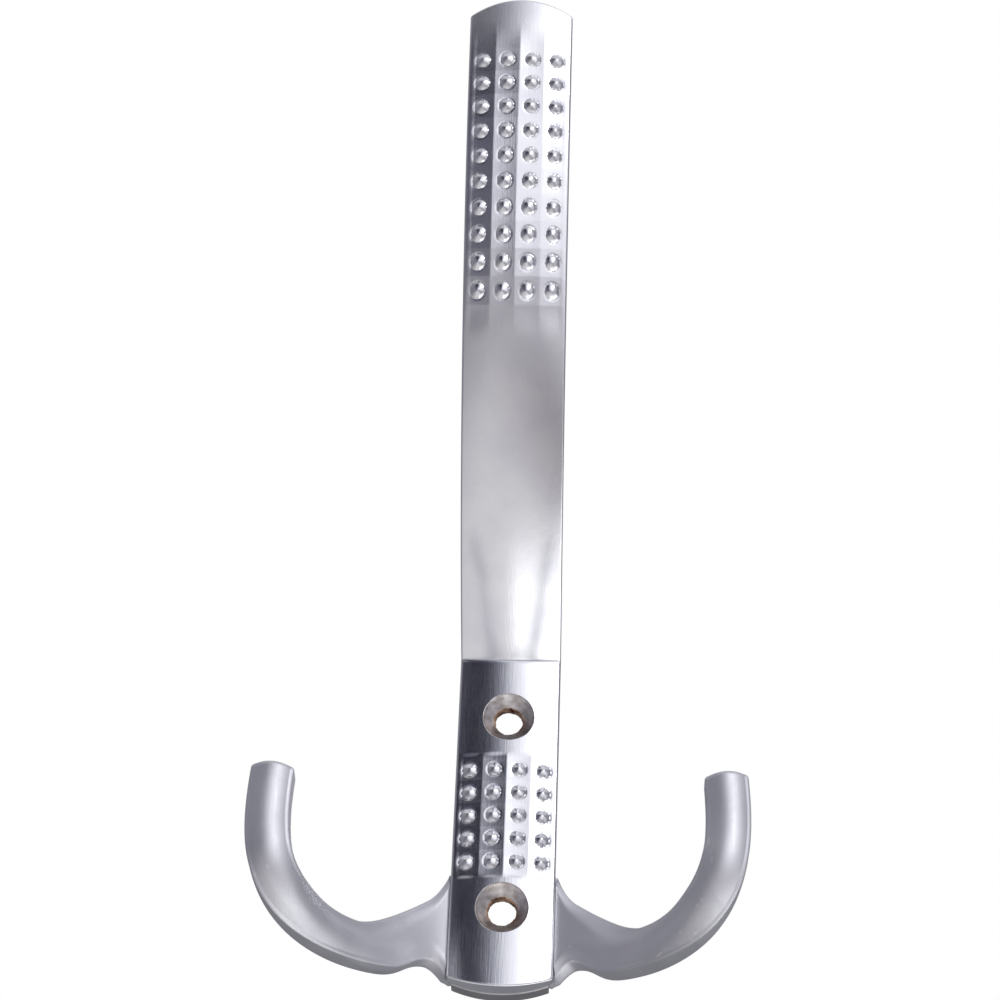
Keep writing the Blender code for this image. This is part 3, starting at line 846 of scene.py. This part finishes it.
def plate_outline(inset):
    """Outline of the back plate (x, z): the foot's arc, straight sides and a flat top."""
    half = STRAP_HALF - BACK_PLATE_INSET - inset
    top = PLATE_TOP - BACK_PLATE_TOP_DROP - inset
    x = np.linspace(-half, half, 49)
    foot = PLATE_FOOT + inset + end_arc(x, FOOT_ARC_RADIUS)
    side = np.linspace(foot[-1], top, 12)[1:]
    right = np.stack([np.full(len(side), half), side], axis=1)
    return np.concatenate([np.stack([x, foot], axis=1), right, right[::-1] * (-1, 1)])


def circle(centre_z, radius, count):
    """Points (x, z) round a hole, evenly spaced."""
    angle = 2 * math.pi * np.arange(count) / count
    return np.stack([radius * np.cos(angle), centre_z + radius * np.sin(angle)], axis=1)


def build_back_plate():
    """Rings of points at set depths; bands of quads join them, and flat faces fill between."""
    points = []
    faces = []

    def ring(flat_points, y):
        start = sum(len(made) for made in points)
        points.append(np.insert(flat_points, 1, y, axis=1))
        return np.arange(start, start + len(flat_points))

    def band(front, back, outward):
        around = quads(np.append(front, front[0]), np.append(back, back[0]))
        faces.extend((around if outward else around[:, ::-1]).tolist())

    front_y = -BACK_PLATE_THICKNESS
    outline = [
        ring(plate_outline(BACK_PLATE_BEVEL), front_y),
        ring(plate_outline(0.0), front_y + BACK_PLATE_BEVEL),
        ring(plate_outline(0.0), -BACK_PLATE_BEVEL),
        ring(plate_outline(BACK_PLATE_BEVEL), 0.0),
    ]
    for front, back in zip(outline, outline[1:]):
        band(front, back, True)
    front_loops = [outline[0]]
    back_loops = [outline[-1]]
    stud_hole = RIVET_DIAMETER / 2 + FIT_GAP
    counterbore = RIVET_HEAD_DIAMETER / 2 + FIT_GAP
    floor_y = -(RIVET_HEAD_RECESS + RIVET_HEAD_THICKNESS + FIT_GAP)
    for side in (-1, 1):
        screw = side * SCREW_SPACING / 2
        stud = side * RIVET_SPACING / 2
        clear = circle(screw, SCREW_CLEARANCE_HOLE / 2, 96)
        wide_clear = circle(screw, SCREW_CLEARANCE_HOLE / 2 + HOLE_BEVEL, 96)
        narrow = circle(stud, stud_hole, 64)
        wide = circle(stud, counterbore, 64)
        wide_mouth = circle(stud, counterbore + HOLE_BEVEL, 64)
        screw_rings = [ring(clear, front_y), ring(clear, -HOLE_BEVEL), ring(wide_clear, 0.0)]
        stud_rings = [
            ring(narrow, front_y), ring(narrow, floor_y), ring(wide, floor_y),
            ring(wide, -HOLE_BEVEL), ring(wide_mouth, 0.0),
        ]
        for rings in (screw_rings, stud_rings):
            for front, back in zip(rings, rings[1:]):
                band(front, back, False)
            front_loops.append(rings[0])
            back_loops.append(rings[-1])
    places = np.concatenate(points)
    for loops, direction in ((front_loops, (0.0, -1.0, 0.0)), (back_loops, (0.0, 1.0, 0.0))):
        faces.extend(facing(places, filled(places.tolist(), loops), direction))
    return surface_object("back_plate", places, faces, 30.0)


back_plate = build_back_plate()
# Painted shade: the same satin chrome as the side hooks of this casting, given a darker grey to stand in for
# the shade behind the strap and under its foot.
back_plate.data.materials.append(satin_plate(
    "back_plate_chrome_painted_shade", (0.56, 0.55, 0.56), (0.45, 0.44, 0.45), 0.40, 2000.0, 0.0, 0.6))
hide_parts("double_hook")
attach(back_plate, "root")


# ---------------------------------------------------------------- studio floor
# A plain pale painted floor far below the hook, which hangs as on a wall.  It is left out of
# reflections: the lower half of the studio light takes its place there.

floor_mesh = bpy.data.meshes.new("studio_floor")
FLOOR_HALF = 3.0
FLOOR_Z = -0.42
floor_corners = [(-FLOOR_HALF, -FLOOR_HALF, FLOOR_Z), (FLOOR_HALF, -FLOOR_HALF, FLOOR_Z),
                 (FLOOR_HALF, FLOOR_HALF, FLOOR_Z), (-FLOOR_HALF, FLOOR_HALF, FLOOR_Z)]
floor_mesh.from_pydata(floor_corners, [], [(0, 1, 2, 3)])
studio_floor = bpy.data.objects.new("studio_floor", floor_mesh)
bpy.context.scene.collection.objects.link(studio_floor)
floor_paint = bpy.data.materials.new("pale_floor")
floor_paint.use_nodes = True
floor_shader = floor_paint.node_tree.nodes["Principled BSDF"]
floor_shader.inputs["Base Color"].default_value = (0.80, 0.785, 0.80, 1.0)
floor_shader.inputs["Roughness"].default_value = 0.9
floor_mesh.materials.append(floor_paint)
studio_floor.visible_glossy = False


# ---------------------------------------------------------------- studio light
# A light tent that stands all round: nearly dark at the front left, white at the front right,
# dim behind.  Its lower half is a pale table, with a brighter white card below at the right,
# and one small soft panel adds a highlight.  Seen directly, the tent is plain white.

DIM_REAR = (0.24, 0.24, 0.26)

world = bpy.data.worlds.new("studio")
bpy.context.scene.world = world
world.use_nodes = True
sky = world.node_tree
sky.nodes.clear()


def sky_math(operation, first, second=None, third=None):
    made = sky.nodes.new("ShaderNodeMath")
    made.operation = operation
    for place_in, value in enumerate((first, second, third)):
        if value is None:
            continue
        if isinstance(value, (int, float)):
            made.inputs[place_in].default_value = value
        else:
            sky.links.new(value, made.inputs[place_in])
    return made.outputs[0]


def sky_ramp(value, stops):
    made = sky.nodes.new("ShaderNodeValToRGB")
    made.color_ramp.interpolation = "EASE"
    while len(made.color_ramp.elements) < len(stops):
        made.color_ramp.elements.new(0.5)
    for element, (position, colour) in zip(made.color_ramp.elements, stops):
        element.position = position
        element.color = (*colour, 1.0)
    sky.links.new(value, made.inputs["Fac"])
    return made.outputs["Color"]


def sky_mix(factor, first, second):
    made = sky.nodes.new("ShaderNodeMix")
    made.data_type = "RGBA"
    sky.links.new(factor, made.inputs["Factor"])
    for socket, value in (("A", first), ("B", second)):
        if isinstance(value, tuple):
            made.inputs[socket].default_value = (*value, 1.0)
        else:
            sky.links.new(value, made.inputs[socket])
    return made.outputs["Result"]


direction = sky.nodes.new("ShaderNodeTexCoord")
split = sky.nodes.new("ShaderNodeSeparateXYZ")
sky.links.new(direction.outputs["Generated"], split.inputs["Vector"])
level = sky_math("SQRT", sky_math("ADD", sky_math("POWER", split.outputs["X"], 2.0),
                                  sky_math("POWER", split.outputs["Y"], 2.0)))
sideways = sky_math("DIVIDE", split.outputs["X"], sky_math("MAXIMUM", level, 0.001))
sideways_share = sky_math("MULTIPLY_ADD", sideways, 0.5, 0.5)
front_panels = sky_ramp(sideways_share, [
    (0.03, (0.26, 0.26, 0.29)),
    (0.12, (0.13, 0.13, 0.16)),
    (0.20, (0.010, 0.011, 0.021)),
    (0.36, (0.012, 0.013, 0.025)),
    (0.43, (0.20, 0.21, 0.26)),
    (0.54, (1.02, 1.03, 1.08)),
    (0.80, (1.25, 1.25, 1.29)),
    (0.91, (0.36, 0.36, 0.40)),
    (1.00, (0.24, 0.24, 0.27)),
])
low_front_panels = sky_ramp(sideways_share, [
    (0.03, (0.22, 0.22, 0.25)),
    (0.20, (0.11, 0.11, 0.145)),
    (0.35, (0.13, 0.13, 0.165)),
    (0.41, (0.72, 0.72, 0.78)),
    (0.52, (1.00, 1.01, 1.06)),
    (0.84, (1.05, 1.05, 1.09)),
    (0.94, (0.62, 0.62, 0.67)),
    (1.00, (0.22, 0.22, 0.25)),
])
height_share = sky_math("MULTIPLY_ADD", split.outputs["Z"], 0.5, 0.5)
low_share = sky_ramp(height_share, [(0.56, (1, 1, 1)), (0.645, (0, 0, 0))])
front = sky_mix(low_share, front_panels, low_front_panels)
roof_share = sky_ramp(height_share, [(0.76, (0, 0, 0)), (0.90, (1, 1, 1))])
with_roof = sky_mix(roof_share, front, (0.62, 0.62, 0.66))
depth_share = sky_math("MULTIPLY_ADD", split.outputs["Y"], 0.5, 0.5)
back_share = sky_ramp(depth_share, [(0.5, (0, 0, 0)), (0.68, (1, 1, 1))])
walls = sky_mix(back_share, with_roof, DIM_REAR)
table_left = sky_ramp(height_share, [
    (0.00, (0.76, 0.75, 0.76)), (0.07, (0.74, 0.73, 0.74)), (0.12, (0.67, 0.66, 0.67)),
    (0.18, (0.55, 0.54, 0.56)), (0.25, (0.42, 0.41, 0.43)), (0.33, (0.29, 0.29, 0.31)),
])
table_right = sky_ramp(height_share, [
    (0.00, (0.85, 0.84, 0.85)), (0.07, (0.60, 0.59, 0.60)), (0.12, (0.41, 0.39, 0.41)),
    (0.18, (0.31, 0.29, 0.31)), (0.25, (0.48, 0.47, 0.49)), (0.33, (0.70, 0.69, 0.74)),
])
table_share = sky_math("MULTIPLY_ADD", split.outputs["X"], 1.3, 0.5)
sky.nodes[-1].use_clamp = True
table = sky_mix(table_share, table_left, table_right)
card_share = sky_math("MULTIPLY_ADD", split.outputs["X"], 2.0, 0.5)
card_across = sky_ramp(card_share, [(0.38, (0, 0, 0)), (0.60, (1, 1, 1))])
depth_down = sky_math("MAXIMUM", sky_math("MULTIPLY", split.outputs["Z"], -1.0), 0.001)
steepness = sky_math("DIVIDE", sky_math("MULTIPLY", split.outputs["Y"], -1.0), depth_down)
card_down = sky_ramp(steepness, [(0.10, (1, 1, 1)), (0.46, (0, 0, 0))])
card = sky_math("MULTIPLY", card_across, card_down)
table_with_card = sky_mix(card, table, (1.60, 1.60, 1.61))
table_edge = sky_ramp(height_share, [(0.31, (1, 1, 1)), (0.35, (0, 0, 0))])
front_and_table = sky_mix(table_edge, walls, table_with_card)
behind_share = sky_ramp(depth_share, [(0.62, (0, 0, 0)), (0.80, (1, 1, 1))])
all_round = sky_mix(behind_share, front_and_table, DIM_REAR)
seen = sky.nodes.new("ShaderNodeLightPath")
shown = sky_mix(seen.outputs["Is Camera Ray"], all_round, (1.0, 1.0, 1.0))
glow = sky.nodes.new("ShaderNodeBackground")
sky.links.new(shown, glow.inputs["Color"])
sky_out = sky.nodes.new("ShaderNodeOutputWorld")
sky.links.new(glow.outputs["Background"], sky_out.inputs["Surface"])


def soft_panel(name, place, aim, size, watts, colour):
    """A square softbox at a place, turned to a point; it lights and reflects, but isn't seen."""
    lamp = bpy.data.lights.new(name, "AREA")
    lamp.shape = "SQUARE"
    lamp.size = size
    lamp.energy = watts
    lamp.color = colour
    item = bpy.data.objects.new(name, lamp)
    bpy.context.scene.collection.objects.link(item)
    item.location = place
    forward = np.array(aim) - np.array(place)
    forward = forward / np.linalg.norm(forward)
    right = np.cross(forward, (0.0, 0.0, 1.0))
    right = right / np.linalg.norm(right)
    up = np.cross(right, forward)
    turned = Matrix((right, up, -forward)).transposed().to_4x4()
    item.matrix_world = Matrix.Translation(place) @ turned
    item.visible_camera = False
    return item


soft_panel("front_right_panel", (0.45, -0.75, 0.35), (0.0, -0.02, 0.03), 0.30, 1.2, (1.0, 1.0, 1.0))


# ---------------------------------------------------------------- camera
# A long lens in front of the hook, below it and a little to its right, looking steeply up
# and tilted slightly about its own axis.

CAMERA_PLACE = (0.01289, -0.37305, -0.16175)
CAMERA_LENS = 92.49
yaw = math.radians(-2.446)
pitch = math.radians(30.692)
roll = math.radians(2.318)
ahead = np.array((math.sin(yaw) * math.cos(pitch), math.cos(yaw) * math.cos(pitch), math.sin(pitch)))
level_right = np.array((math.cos(yaw), -math.sin(yaw), 0.0))
level_up = np.cross(level_right, ahead)
camera_right = math.cos(roll) * level_right + math.sin(roll) * level_up
camera_up = -math.sin(roll) * level_right + math.cos(roll) * level_up
camera_data = bpy.data.cameras.new("camera")
camera_data.lens = CAMERA_LENS
camera_data.sensor_width = 36.0
camera_data.clip_start = 0.01
camera = bpy.data.objects.new("camera", camera_data)
bpy.context.scene.collection.objects.link(camera)
camera_turn = Matrix((camera_right, camera_up, -ahead)).transposed().to_4x4()
camera.matrix_world = Matrix.Translation(CAMERA_PLACE) @ camera_turn
bpy.context.scene.camera = camera
bpy.context.scene.view_settings.view_transform = "Standard"
